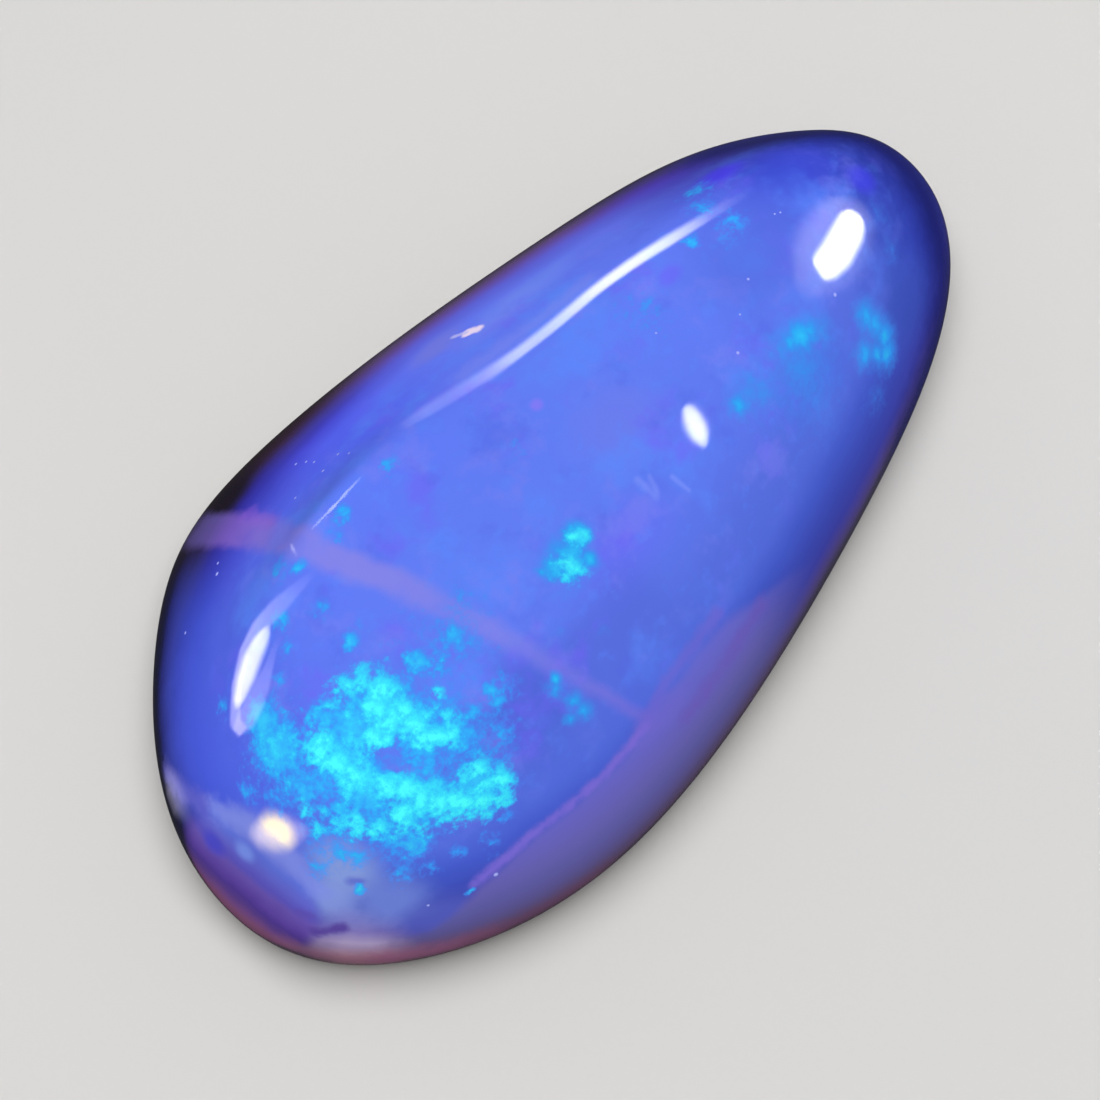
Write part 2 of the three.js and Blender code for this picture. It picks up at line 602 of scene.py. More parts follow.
@dataclass(frozen=True)
class OpalFinish:
    """The stone's finish: a blue colour bar over mauve potch, under one polish."""

    # Body colours by height above the base. The +Y flank has its own at several stations along it.
    # Each run darkens low down towards the rim: partly dark potch, partly painted shade
    shady_flank: Stops = (
        (0.6, Tint(52, 46, 62)), (1.5, Tint(68, 61, 88)), (1.8, Tint(77, 67, 124)),
        (2.05, Tint(70, 64, 146)), (2.3, Tint(57, 61, 158)), (2.7, Tint(56, 68, 168)),
        (3.0, Tint(60, 76, 180)), (3.35, Tint(66, 87, 196)), (3.8, Tint(80, 104, 214)),
        (4.4, Tint(86, 109, 221)), (5.4, Tint(97, 125, 244)),
    )
    wide_end: Stops = (
        (1.7, Tint(16, 16, 44)), (1.9, Tint(20, 22, 62)), (2.0, Tint(29, 33, 95)),
        (2.2, Tint(42, 48, 128)), (2.4, Tint(49, 58, 149)), (2.7, Tint(52, 64, 170)),
        (3.2, Tint(61, 78, 197)), (3.8, Tint(80, 100, 222)), (4.4, Tint(86, 107, 230)),
        (5.4, Tint(97, 125, 244)),
    )
    notch_side: Stops = (
        (2.0, Tint(28, 20, 30)), (2.35, Tint(34, 23, 48)), (2.55, Tint(42, 34, 95)),
        (2.75, Tint(43, 38, 134)), (3.0, Tint(50, 50, 162)), (3.5, Tint(70, 78, 204)),
        (4.1, Tint(85, 103, 236)), (5.4, Tint(97, 125, 244)),
    )
    dusky_side: Stops = (
        (2.0, Tint(36, 22, 34)), (2.3, Tint(45, 28, 48)), (2.5, Tint(52, 35, 71)),
        (2.7, Tint(56, 45, 114)), (2.9, Tint(60, 54, 146)), (3.1, Tint(60, 58, 174)),
        (3.3, Tint(69, 71, 205)), (3.7, Tint(81, 95, 234)), (4.4, Tint(87, 106, 250)),
        (5.4, Tint(97, 125, 244)),
    )
    sunny_side: Stops = (
        (2.0, Tint(56, 44, 66)), (2.45, Tint(86, 70, 110)), (2.65, Tint(93, 70, 134)),
        (2.9, Tint(96, 79, 176)), (3.15, Tint(92, 94, 211)), (3.4, Tint(93, 106, 223)),
        (3.7, Tint(100, 119, 240)), (4.4, Tint(98, 120, 243)), (5.4, Tint(98, 126, 244)),
    )
    tip_side: Stops = (
        (2.0, Tint(50, 42, 70)), (2.3, Tint(62, 54, 103)), (2.6, Tint(66, 54, 130)),
        (2.8, Tint(71, 53, 158)), (3.1, Tint(76, 62, 184)), (3.4, Tint(75, 71, 193)),
        (3.8, Tint(78, 84, 207)), (4.4, Tint(77, 92, 220)), (5.4, Tint(88, 112, 236)),
    )
    # Where the +Y flank changes from one run of colours to the next, by x
    to_notch: Span = (-6.0, -4.4)
    to_dusky: Span = (-3.6, -2.2)
    to_sunny: Span = (-2.0, 0.4)
    to_tip: Span = (3.4, 5.4)
    # How far to each side of y = 0 the colours of the two flanks mix
    flank_turn: float = 1.6
    body_lumps: Lumps = Lumps(0.7, 3.0, size=0.3)

    # The walls stand in some shade, and the colours are lifted there to look as named
    lift_least: float = 0.804
    lift_rise: float = 0.92
    lift_top: float = 5.4
    lift_span: float = 4.4
    lift_cap: Spot = (1.0, 1.0, 1.0)

    # The foot of the wide end: colours by height on the small facet, and in the milky flow beside it
    facet_colours: Stops = (
        (1.1, Tint(112, 70, 100)), (1.25, Tint(110, 68, 105)), (1.42, Tint(99, 64, 117)),
        (1.6, Tint(79, 55, 121)), (1.76, Tint(70, 50, 130)), (1.95, Tint(84, 61, 148)),
        (2.25, Tint(97, 78, 164)), (2.45, Tint(86, 80, 180)), (2.7, Tint(94, 97, 196)),
        (3.0, Tint(92, 110, 212)), (3.3, Tint(118, 131, 222)),
    )
    # How far behind the facet's plane its colours start and are full
    facet_edge: Span = (0.18, 0.05)
    foot_lumps: Lumps = Lumps(1.6, 4.0, size=0.24)
    milky_colours: Stops = (
        (1.1, Tint(152, 114, 128)), (1.35, Tint(166, 122, 140)), (1.6, Tint(154, 122, 146)),
        (1.8, Tint(150, 131, 167)), (2.0, Tint(160, 146, 184)), (2.3, Tint(122, 113, 178)),
        (2.7, Tint(128, 134, 200)), (3.1, Tint(116, 140, 214)), (3.5, Tint(128, 150, 216)),
    )
    milky: Pool = Pool("milky", (-8.15, -2.5, 1.7), (1.0, 1.35, 2.0), Tint(120, 112, 176), 1.0)

    # Colour clouds inside the body. Each starts and is full at these shares of its reach.
    cloud_lumps: Lumps = Lumps(1.3, 4.0, size=0.5)
    cloud_edge: Span = (1.25, 0.45)
    pools: tuple[Pool, ...] = (
        Pool("narrow_end", (7.6, 0.0, 3.2), (3.0, 4.4, 3.2), Tint(38, 51, 160), 0.85),
        Pool("tip_face", (5.9, 0.4, 4.6), (1.5, 1.4, 0.9), Tint(66, 80, 208), 0.6),
        Pool("wide_end", (-7.0, 1.0, 3.6), (2.4, 3.0, 2.2), Tint(78, 97, 228), 0.5),
        Pool("below_seam", (-3.9, -2.5, 4.7), (1.7, 1.3, 1.2), Tint(76, 98, 210), 0.8),
        Pool("sunny_haze", (1.5, 2.35, 4.0), (1.9, 0.6, 0.7), Tint(120, 142, 246), 0.6),
        Pool("violet_face", (-0.05, 0.55, 5.34), (0.16, 0.16, 0.4), Tint(142, 120, 246), 0.6),
        Pool("violet_middle", (3.2, 0.42, 5.1), (0.34, 0.22, 0.6), Tint(110, 98, 248), 0.6),
        Pool("violet_side", (-1.0, -2.0, 5.0), (1.6, 0.8, 0.9), Tint(104, 106, 244), 0.5),
        Pool("far_azure", (3.5, -2.4, 4.5), (1.7, 0.8, 0.9), Tint(66, 114, 226), 0.4),
        Pool("haze", (0.2, 3.0, 3.7), (0.8, 0.5, 0.6), Tint(114, 120, 218), 0.7),
        Pool("far_side", (6.1, -2.5, 3.2), (1.7, 0.9, 1.1), Tint(56, 78, 172), 0.5),
        Pool("grey_face", (0.5, -0.7, 5.3), (1.3, 1.1, 0.8), Tint(114, 125, 232), 0.45),
        Pool("lower_face", (-2.0, -2.6, 4.7), (1.7, 0.9, 1.0), Tint(82, 101, 212), 0.55),
        Pool("cloud", (-7.5, -1.7, 3.5), (0.9, 0.95, 1.0), Tint(130, 153, 214), 0.9),
        Pool("side_cloud", (-8.0, -1.75, 3.0), (0.6, 0.7, 0.7), Tint(126, 146, 214), 0.9),
        Pool("low_cloud", (-7.3, -2.55, 2.9), (1.0, 0.8, 0.9), Tint(104, 125, 206), 0.9),
        Pool("low_flank", (-7.0, -3.15, 2.4), (1.3, 0.8, 0.7), Tint(82, 92, 184), 0.75),
        Pool("notch", (-3.85, 4.35, 2.3), (1.1, 0.75, 0.85), Tint(22, 16, 28), 0.95),
    )

    # Colours that lie over the seam and the potch
    blushes: tuple[Pool, ...] = (
        Pool("far_face", (4.6, -0.3, 4.9), (2.0, 1.7, 1.0), Tint(80, 103, 214), 0.62),
        Pool("tip_top", (6.3, 0.5, 4.3), (1.4, 1.4, 1.0), Tint(56, 68, 198), 0.85),
        Pool("violet_tip", (5.55, 1.2, 4.2), (0.7, 0.5, 0.6), Tint(76, 62, 244), 0.85),
        Pool("violet_end", (7.0, -0.7, 4.2), (0.4, 0.4, 0.5), Tint(66, 64, 228), 0.6),
        Pool("crossing", (-2.3, -3.95, 3.4), (1.0, 0.4, 0.5), Tint(108, 100, 200), 0.5),
        Pool("facet_azure", (-8.25, -0.2, 2.83), (0.34, 0.3, 0.3), Tint(118, 145, 230), 0.8),
        Pool("facet_indigo", (-8.42, 0.4, 2.42), (0.34, 0.36, 0.36), Tint(68, 68, 190), 0.85),
        # A cream patch under the warm lamp's reflection: a painted highlight
        Pool("painted_warm_highlight", (-7.8, -0.57, 3.68), (0.5, 0.46, 0.5), Tint(255, 240, 204), 1.0),
    )
    streaks: tuple[Streak, ...] = (
        Streak("rose_end", ((-8.72, -1.5, 1.3), (-8.08, -2.65, 1.22)), 0.5, Tint(128, 84, 110), 0.6),
        Streak("rose_corner", ((-7.85, -2.88, 1.25), (-6.6, -3.75, 1.15)), 0.75, Tint(136, 84, 118), 0.85),
        Streak("rose_flank", (
            (-6.6, -3.75, 1.15), (-5.6, -4.27, 1.15), (-4.6, -4.5, 1.1),
        ), 0.75, Tint(106, 68, 100), 0.7),
        # Pale lines along the facet's crease: painted highlights where the edge catches the light
        Streak("high_crease", ((-7.98, 1.9, 1.97), (-8.07, 0.8, 2.85)), 0.35, Tint(104, 102, 194), 0.6),
        Streak("crease", (
            (-8.06, 0.6, 3.0), (-7.97, 0.0, 3.38), (-7.95, -0.6, 3.5), (-7.95, -1.1, 3.4),
            (-8.0, -1.6, 3.08),
        ), 0.36, Tint(122, 136, 222), 0.75),
        Streak("bruise", ((-8.42, -1.8, 2.14), (-8.08, -2.13, 2.36)), 0.2, Tint(80, 60, 146), 0.9),
        Streak("left_bruise", ((-8.42, -1.42, 2.4), (-8.3, -1.62, 2.5)), 0.16, Tint(90, 74, 164), 0.6),
        Streak("small_bruise", ((-7.57, -1.95, 3.36), (-7.5, -2.05, 3.36)), 0.16, Tint(88, 100, 196), 0.8),
        Streak("seam_edge", ((-3.98, 3.6, 3.1), (-3.96, 2.9, 3.88)), 0.3, Tint(138, 90, 202), 0.4),
        Streak("potch_line", (
            (-6.3, -3.4, 2.87), (-5.2, -3.6, 3.24), (-3.6, -3.91, 3.37), (-2.65, -3.91, 3.49),
        ), 0.17, Tint(124, 104, 206), 0.75),
        Streak("upper_line", (
            (-2.65, -3.88, 3.55), (-1.9, -3.72, 3.77), (-0.5, -3.66, 3.8),
        ), 0.24, Tint(110, 100, 204), 0.6),
        Streak("far_line", ((-1.9, -4.2, 2.95), (0.3, -3.96, 3.08)), 0.3, Tint(104, 82, 176), 0.5),
        # A dark navy band round the rim of the narrow end: painted shade
        Streak("painted_tip_rim_shade", (
            (5.0, -3.7, 1.3), (6.3, -3.2, 1.6), (7.5, -2.6, 2.1), (8.1, -1.5, 2.75), (8.05, -0.2, 3.4),
            (7.35, 0.85, 3.55), (6.5, 1.9, 2.7),
        ), 1.3, Tint(22, 26, 102), 0.9),
        # A pale haze beside the shoulder's highlight: a painted sheen
        Streak("painted_strip_sheen", (
            (-0.3, 1.95, 4.72), (1.2, 1.66, 4.81), (2.4, 1.5, 4.72),
        ), 0.32, Tint(126, 138, 240), 0.45),
        # A small pale pink spot and its tail on the +Y flank: a painted glint
        Streak("painted_glint", ((0.66, 2.64, 3.96), (0.78, 2.53, 4.05)), 0.16, Tint(236, 218, 248), 1.0, 0.6),
        Streak("painted_glint_tail", ((0.5, 2.84, 3.78), (0.64, 2.68, 3.92)), 0.09, Tint(190, 188, 244), 0.8),
        Streak("wisp", ((0.03, -1.5, 5.24), (0.02, -1.86, 5.15)), 0.12, Tint(132, 152, 250), 0.45),
        Streak("wisp_fork", ((0.2, -1.6, 5.21), (0.1, -1.84, 5.15)), 0.09, Tint(132, 152, 250), 0.4),
        Streak("thin_wisp", ((0.46, -1.86, 5.11), (0.5, -2.18, 4.98)), 0.07, Tint(132, 152, 250), 0.45),
    )
    streak_lumps: Lumps = Lumps(4.0, 4.0)
    # How ragged a streak's edge is, as a share of its half width, and at most in millimetres
    raggedness: float = 1.2
    most_ragged: float = 0.4

    # Tiny pale specks just under the polish, and the glow at which one starts and is full
    speck_melt: float = 0.1
    speck_edge: Span = (0.1, 0.9)
    specks: tuple[Lobe, ...] = (
        Lobe(4.01, -0.59, 0.02), Lobe(2.85, -1.3, 0.024), Lobe(4.94, -1.74, 0.028),
        Lobe(5.31, -0.13, 0.015), Lobe(5.4, -0.18, 0.015), Lobe(-5.07, 3.25, 0.03),
        Lobe(-4.9, 3.4, 0.022), Lobe(-5.94, -3.54, 0.032), Lobe(-7.0, -3.01, 0.02),
        Lobe(-2.83, 3.47, 0.022), Lobe(-2.74, 3.3, 0.022), Lobe(-2.71, 3.13, 0.022),
        Lobe(-2.84, 2.78, 0.026), Lobe(-2.46, 2.79, 0.022), Lobe(-2.4, 2.58, 0.022),
        Lobe(-3.45, 2.86, 0.022), Lobe(-6.1, 3.08, 0.022), Lobe(3.4, -0.9, 0.015),
        Lobe(2.2, -0.1, 0.015),
    )
    speck_tint: Tint = Tint(160, 168, 246)

    # Mottling of the face, which fades out on the shoulder between these heights
    mottled_above: Span = (3.2, 4.9)
    mottles: tuple[Mottle, ...] = (
        Mottle(Tint(90, 138, 252), Lumps(0.55, 4.0, 0.6), (0.50, 0.72), 0.7),
        Mottle(Tint(112, 98, 244), Lumps(0.8, 4.0, 0.6), (0.54, 0.72), 0.5),
        Mottle(Tint(90, 138, 252), Lumps(2.4, 4.0, 0.6), (0.52, 0.70), 0.3),
        Mottle(Tint(124, 130, 240), Lumps(1.1, 4.0, 0.6), (0.52, 0.72), 0.45),
        Mottle(Tint(82, 102, 226), Lumps(0.9, 4.0, 0.6), (0.54, 0.72), 0.45),
    )
    # Each one's noise is moved by its own numbers times these, so that no two lie on each other
    mottle_moves: Spot = (31.0, 17.0, 50.0)

    # The mauve seam across the stone: its x at each y, and its half width at the middle, which
    # widens towards +Y
    seam_path: Course = (
        (-4.0, -2.5), (-3.6, -2.7), (-2.6, -3.12), (-1.6, -3.36), (-1.0, -3.52), (0.3, -3.8),
        (1.0, -3.98), (1.6, -4.15), (2.4, -4.22), (3.0, -4.2), (3.6, -4.3), (4.3, -4.46),
    )
    seam_half_width: float = 0.21
    seam_widening: float = 0.03
    seam_soft: float = 0.14
    seam_shares: Course = ((-3.6, 0.5), (-1.2, 0.62), (0.6, 0.92), (4.0, 0.95))
    # Where it comes in on the -Y flank, by y
    seam_end: Span = (-4.15, -3.75)
    seam_lumps: Lumps = Lumps(1.6, 4.0, size=0.3)
    # In places, where noise is low, it thins out to its least share
    seam_thinning: Lumps = Lumps(0.9, 3.0)
    seam_thin_edge: Span = (0.3, 0.55)
    seam_least: float = 0.65
    seam_colours: Stops = (
        (1.3, Tint(58, 50, 84)), (1.8, Tint(72, 62, 112)), (2.4, Tint(84, 70, 138)),
        (2.9, Tint(108, 82, 174)), (3.3, Tint(118, 94, 192)), (3.7, Tint(125, 108, 208)),
        (4.6, Tint(130, 122, 225)), (5.2, Tint(132, 132, 230)),
    )

    # The potch layer: the height of its crest by x, at this y, and how it falls towards +Y
    potch_crest: Course = (
        (-7.2, 2.3), (-6.2, 2.9), (-5.5, 3.15), (-4.8, 3.28), (-3.2, 3.35), (-2.4, 3.6), (-1.2, 3.75),
        (-0.4, 3.6), (0.3, 3.3), (1.0, 2.9), (1.8, 2.4), (2.8, 1.6),
    )
    potch_y: float = -3.8
    potch_fall: float = 0.31
    potch_share: float = 0.88
    potch_lumps: Lumps = Lumps(0.9, 4.0, size=0.3)
    # How far over its crest it starts and is full, and between which x it comes in from the narrow end
    potch_edge: Span = (0.12, -0.22)
    potch_fade: Span = (1.9, -0.5)
    potch_colours: Stops = (
        (0.0, Tint(56, 48, 60)), (0.9, Tint(68, 57, 72)), (1.3, Tint(91, 72, 106)),
        (1.65, Tint(88, 77, 123)), (1.9, Tint(88, 82, 138)), (2.3, Tint(92, 89, 155)),
        (2.6, Tint(100, 94, 165)), (3.0, Tint(102, 97, 182)), (3.6, Tint(103, 103, 202)),
    )

    # Play of colour: dim glimmers, soft flakes over them, and crisp bright flakes on top
    grain: Lumps = Lumps(7.0, 5.0, 0.65)
    wander: Lumps = Lumps(3.5, 3.0, 0.6)
    # How much of a lobe's glow is gone at its radius, and the glow of a place that is far from all
    lobe_fall: float = 0.55
    no_glow: float = -1.0
    glimmers: Flakes = Flakes(
        stops=((0.0, Tint(72, 128, 240)), (0.35, Tint(50, 150, 245)), (0.65, Tint(52, 176, 248)),
               (1.1, Tint(60, 208, 250))),
        full_at=0.6,
        grain=1.3,
        wander=0.3,
        melt=0.4,
        lobes=(
            # Fill of the main patch
            Lobe(-6.45, -0.8, 0.48, FULL), Lobe(-5.95, -0.7, 0.42, FULL), Lobe(-5.45, -0.8, 0.42, FULL),
            Lobe(-5.5, -1.75, 0.4, MID), Lobe(-5.35, -1.4, 0.38, FULL), Lobe(-5.0, -1.75, 0.36, MID),
            Lobe(-6.5, -1.4, 0.45, FULL), Lobe(-6.1, -2.1, 0.45, FULL), Lobe(-5.3, -2.65, 0.42, FULL),
            Lobe(-7.05, -1.35, 0.34, MID), Lobe(-6.75, -1.95, 0.34, MID), Lobe(-6.92, 0.1, 0.42, FULL),
            Lobe(-6.7, 0.6, 0.28, FULL), Lobe(-7.1, -0.6, 0.36, MID), Lobe(-4.95, -2.1, 0.3, MID),
            Lobe(-6.6, -2.4, 0.28, MID), Lobe(-4.55, -0.82, 0.17, FULL), Lobe(-6.15, -0.2, 0.26, MID),
            Lobe(-7.6, 0.2, 0.16, DIM), Lobe(-7.45, -0.3, 0.2, DIM), Lobe(-7.42, -1.15, 0.24, DIM),
            Lobe(-5.52, -0.3, 0.25, MID),
            # Crumbs around it
            Lobe(-4.97, 0.26, 0.11, FULL), Lobe(-4.7, 0.34, 0.09, DIM), Lobe(-4.86, 0.97, 0.12, DIM),
            Lobe(-6.1, 0.73, 0.14, DIM), Lobe(-5.62, 1.0, 0.1, DIM), Lobe(-5.35, 1.38, 0.15, MID),
            Lobe(-6.85, 1.4, 0.12, DIM), Lobe(-3.88, -0.95, 0.18, MID), Lobe(-3.85, -1.2, 0.14, DIM),
            Lobe(-4.4, -1.12, 0.1, MID), Lobe(-4.22, -1.07, 0.08, MID), Lobe(-4.3, -0.95, 0.5, FAINT),
            Lobe(-4.55, -1.97, 0.13, MID), Lobe(-4.14, -1.97, 0.12, MID), Lobe(-4.2, -2.15, 0.1, MID),
            Lobe(-3.9, -2.08, 0.16, DIM), Lobe(-4.5, -2.45, 0.26, DIM), Lobe(-3.25, -0.65, 0.16, FAINT),
            Lobe(-3.6, -0.8, 0.2, FAINT), Lobe(-6.6, -2.8, 0.1, DIM), Lobe(-6.15, -2.97, 0.1, DIM),
            Lobe(-5.7, -3.25, 0.14, FAINT), Lobe(-5.25, -3.2, 0.1, DIM),
            # Crumbs in the milky cloud and below it
            Lobe(-7.4, -1.62, 0.16, MID), Lobe(-7.75, -1.42, 0.18, DIM), Lobe(-7.3, -1.87, 0.14, MID),
            Lobe(-7.57, -2.1, 0.09, FULL), Lobe(-7.0, -2.5, 0.16, DIM), Lobe(-6.4, -3.37, 0.06, MID),
            # Crumbs along the sunny shoulder
            Lobe(-3.42, 1.75, 0.13, MID), Lobe(-3.77, 1.56, 0.11, DIM), Lobe(-2.31, 1.77, 0.12, DIM),
            Lobe(-4.54, 1.71, 0.11, MID), Lobe(-4.7, 2.05, 0.16, DIM), Lobe(-0.85, 0.33, 0.14, FAINT),
            Lobe(2.38, 0.32, 0.3, FAINT), Lobe(4.42, 0.19, 0.16, FAINT), Lobe(4.73, 0.26, 0.18, DIM),
            Lobe(3.96, 0.6, 0.12, MID), Lobe(4.65, 0.9, 0.2, DIM), Lobe(5.02, 1.28, 0.22, DIM),
        ),
        gaps=(Lobe(-5.95, -1.45, 0.16, FAINT),),
    )
    soft_flakes: Flakes = Flakes(
        stops=((0.0, Tint(62, 136, 238)), (0.5, Tint(40, 152, 240)), (1.0, Tint(50, 190, 246))),
        full_at=0.8,
        grain=0.5,
        wander=0.15,
        melt=0.25,
        lobes=(
            # Crumbs under the seam
            Lobe(-3.38, -2.65, 0.15, MID), Lobe(-3.28, -2.57, 0.1, FULL), Lobe(-3.31, -2.95, 0.16, MID),
            Lobe(-3.28, -3.15, 0.16, MID), Lobe(-3.52, -3.07, 0.12, MID),
            Lobe(-2.67, -2.14, 0.13, FAINT), Lobe(-2.18, -2.61, 0.12, FAINT),
            # Small patch in the middle of the face
            Lobe(-1.37, -1.38, 0.2), Lobe(-1.8, -1.6, 0.22), Lobe(-2.0, -1.46, 0.19, FULL),
            Lobe(-1.6, -1.5, 0.2, FULL), Lobe(-1.72, -1.34, 0.2, MID), Lobe(-1.52, -1.76, 0.14, FULL),
            Lobe(-1.75, -1.55, 0.4, DIM), Lobe(-2.17, -1.38, 0.1, MID), Lobe(-2.15, -1.8, 0.16, FAINT),
            # Flakes towards the narrow end
            Lobe(3.68, -1.77, 0.22, MID), Lobe(3.9, -1.81, 0.24, FULL), Lobe(4.1, -1.87, 0.26, MID),
            Lobe(4.3, -1.96, 0.24, DIM), Lobe(3.42, -1.76, 0.26, DIM), Lobe(3.5, -2.15, 0.55, DIM),
            Lobe(2.2, -1.87, 0.2, MID), Lobe(2.42, -1.83, 0.2, DIM), Lobe(2.65, -1.72, 0.16, DIM),
            Lobe(2.65, -1.92, 0.42, DIM), Lobe(3.4, -2.6, 0.6, FAINT), Lobe(4.5, -3.15, 0.26, FAINT),
            Lobe(5.2, -2.25, 0.25, MID), Lobe(5.28, -2.43, 0.26, MID), Lobe(5.32, -2.62, 0.28, MID),
            Lobe(5.18, -2.82, 0.26, MID), Lobe(4.96, -2.74, 0.2, MID), Lobe(4.75, -2.62, 0.25, MID),
            Lobe(6.72, -1.31, 0.22, FAINT), Lobe(6.5, -1.8, 0.22, FAINT),
        ),
    )
    flakes: Flakes = Flakes(
        stops=((0.05, Tint(50, 162, 246)), (0.4, Tint(50, 188, 247)), (0.8, Tint(58, 220, 250)),
               (1.15, Tint(75, 249, 252))),
        full_at=0.72,
        grain=2.0,
        wander=0.4,
        melt=0.3,
        lobes=(
            # Main patch: the round bulb at its right and the arch over it
            Lobe(-5.25, -0.66, 0.24), Lobe(-5.1, -0.8, 0.12, FULL), Lobe(-5.34, -0.32, 0.2, FULL),
            Lobe(-5.58, -0.16, 0.17, FULL), Lobe(-5.5, -0.8, 0.24), Lobe(-5.25, -0.14, 0.06, MID),
            Lobe(-5.92, -0.2, 0.16, DIM), Lobe(-6.2, -0.18, 0.18, DIM), Lobe(-5.85, -0.5, 0.22, MID),
            # The broad stretch that runs from the bulb to the left and down
            Lobe(-5.55, -1.05, 0.26), Lobe(-5.85, -1.05, 0.24), Lobe(-5.28, -1.15, 0.2),
            Lobe(-5.35, -1.38, 0.2), Lobe(-5.1, -1.45, 0.15, MID), Lobe(-6.1, -0.85, 0.22, MID),
            # The diagonal below it
            Lobe(-5.4, -1.62, 0.17), Lobe(-5.24, -1.76, 0.19), Lobe(-5.05, -1.9, 0.19, FULL),
            Lobe(-4.85, -1.75, 0.17, MID), Lobe(-4.7, -1.38, 0.08, FULL), Lobe(-4.9, -1.45, 0.08, MID),
            # The long lower band
            Lobe(-6.28, -1.62, 0.22), Lobe(-6.15, -1.85, 0.26), Lobe(-6.05, -2.12, 0.3),
            Lobe(-6.4, -2.05, 0.2), Lobe(-5.9, -2.38, 0.26), Lobe(-5.7, -2.58, 0.26),
            Lobe(-5.48, -2.78, 0.25), Lobe(-5.35, -2.4, 0.15, FULL), Lobe(-5.12, -2.52, 0.18),
            Lobe(-5.22, -2.75, 0.24, FULL), Lobe(-5.0, -2.83, 0.2), Lobe(-5.15, -3.02, 0.16, FULL),
            # Its left lobes
            Lobe(-6.55, -0.8, 0.24), Lobe(-6.55, -0.5, 0.22), Lobe(-6.35, -0.4, 0.2, FULL),
            Lobe(-6.5, -1.12, 0.26), Lobe(-6.3, -1.1, 0.2, MID),
            # The diagonal at its left
            Lobe(-7.28, -0.75, 0.13, MID), Lobe(-7.15, -1.0, 0.14, DIM), Lobe(-7.1, -1.35, 0.18, MID),
            Lobe(-6.97, -1.58, 0.2, FULL), Lobe(-6.8, -1.88, 0.17, FULL), Lobe(-6.6, -2.1, 0.16, MID),
            Lobe(-7.4, -1.12, 0.12, MID), Lobe(-6.35, -2.4, 0.14, MID), Lobe(-6.8, -1.25, 0.2, DIM),
            # Cluster at the far left, crumbs at the right, and the small patch
            Lobe(-6.9, 0.2, 0.32, DIM), Lobe(-6.75, -0.08, 0.24, DIM), Lobe(-7.15, -0.3, 0.16, FAINT),
            Lobe(-4.52, -0.82, 0.12, DIM), Lobe(-4.76, -0.55, 0.1, FAINT),
            Lobe(-1.36, -1.4, 0.15, FULL), Lobe(-1.82, -1.6, 0.18, FULL), Lobe(-1.74, -1.78, 0.1, FULL),
        ),
        gaps=(
            Lobe(-6.04, -1.4, 0.12), Lobe(-5.82, -1.5, 0.12), Lobe(-5.66, -1.74, 0.12),
            Lobe(-5.38, -2.12, 0.16, MID), Lobe(-5.3, -2.62, 0.07, MID), Lobe(-5.72, -0.62, 0.08, DIM),
            Lobe(-6.93, -0.75, 0.15, MID), Lobe(-6.72, -1.65, 0.12, MID), Lobe(-6.0, -0.4, 0.1, DIM),
        ),
    )

    # Polish: bright all over, a little worn in places, and matt on the ground back
    roughness: float = 0.05
    wear: Lumps = Lumps(2.0, 4.0, size=0.03)
    back_roughness: float = 0.42
    # How far the surface faces up where the matt back starts and is full
    back_edge: Span = (-0.75, -0.95)
    # The slight swell of a surface that was polished by hand
    swell: Lumps = Lumps(0.8, 2.0, size=0.02)
    swell_strength: float = 0.02
    ior: float = 1.45

    def paint(self, stone: PolishedStone, piece: bpy.types.Object) -> None:
        """Make the material and put it on the stone.

        Args:
            stone: the stone's form, which says how high each flake lies.
            piece: the object that gets the material.
        """
        material = bpy.data.materials.new("opal")
        recipe = StoneRecipe(material)
        colour = self.body(recipe)
        colour = self.clouds(recipe, colour, self.pools)
        colour = self.mottle(recipe, colour)
        colour = self.potch(recipe, colour)
        colour = self.foot(recipe, colour, stone)
        colour = self.seam(recipe, colour)
        colour = self.clouds(recipe, colour, self.blushes)
        colour = self.strokes(recipe, colour)
        for layer in (self.glimmers, self.soft_flakes, self.flakes):
            colour = self.play(recipe, colour, stone, layer)
        colour = self.speckle(recipe, colour, stone)
        self.polish(recipe, self.lifted(recipe, colour))
        piece.data.materials.append(material)

    def polish(self, recipe: StoneRecipe, colour: Value) -> None:
        """Polish the face and the walls, and leave the ground back matt.

        Args:
            recipe: the material's recipe.
            colour: the finished colour.
        """
        outward = recipe.node("SeparateXYZ", {"Vector": recipe.outward}).outputs
        facing_down = recipe.step(outward["Z"], *self.back_edge)
        wear = recipe.noise(recipe.place, self.wear)
        bright = recipe.sum("MULTIPLY_ADD", wear, self.wear.size, self.roughness - self.wear.size / 2)
        matt = self.back_roughness - self.roughness
        swell = {
            "Strength": self.swell_strength,
            "Distance": self.swell.size * MM,
            "Height": recipe.noise(recipe.place, self.swell),
        }
        shader = recipe.node("BsdfPrincipled", {
            "Base Color": colour,
            "Roughness": recipe.sum("MULTIPLY_ADD", facing_down, matt, bright),
            "IOR": self.ior,
            "Normal": recipe.node("Bump", swell).outputs["Normal"],
        })
        output = recipe.node("OutputMaterial", {"Surface": shader.outputs["BSDF"]})
        output.is_active_output = True

    def body(self, recipe: StoneRecipe) -> Value:
        """Colour the body by height, with painted shade low down towards the rim, and its own run of colours
        on each flank and along the +Y one.

        Args:
            recipe: the material's recipe.

        Returns:
            The body's colour.
        """
        level = recipe.uneven(recipe.z, self.body_lumps)
        far_flank = recipe.ramp(level, self.wide_end)
        for stops, change in (
            (self.notch_side, self.to_notch),
            (self.dusky_side, self.to_dusky),
            (self.sunny_side, self.to_sunny),
            (self.tip_side, self.to_tip),
        ):
            far_flank = recipe.blend(recipe.step(recipe.x, *change), far_flank, recipe.ramp(level, stops))
        near_flank = recipe.ramp(level, self.shady_flank)
        turned = recipe.step(recipe.y, -self.flank_turn, self.flank_turn)
        return recipe.blend(turned, near_flank, far_flank)

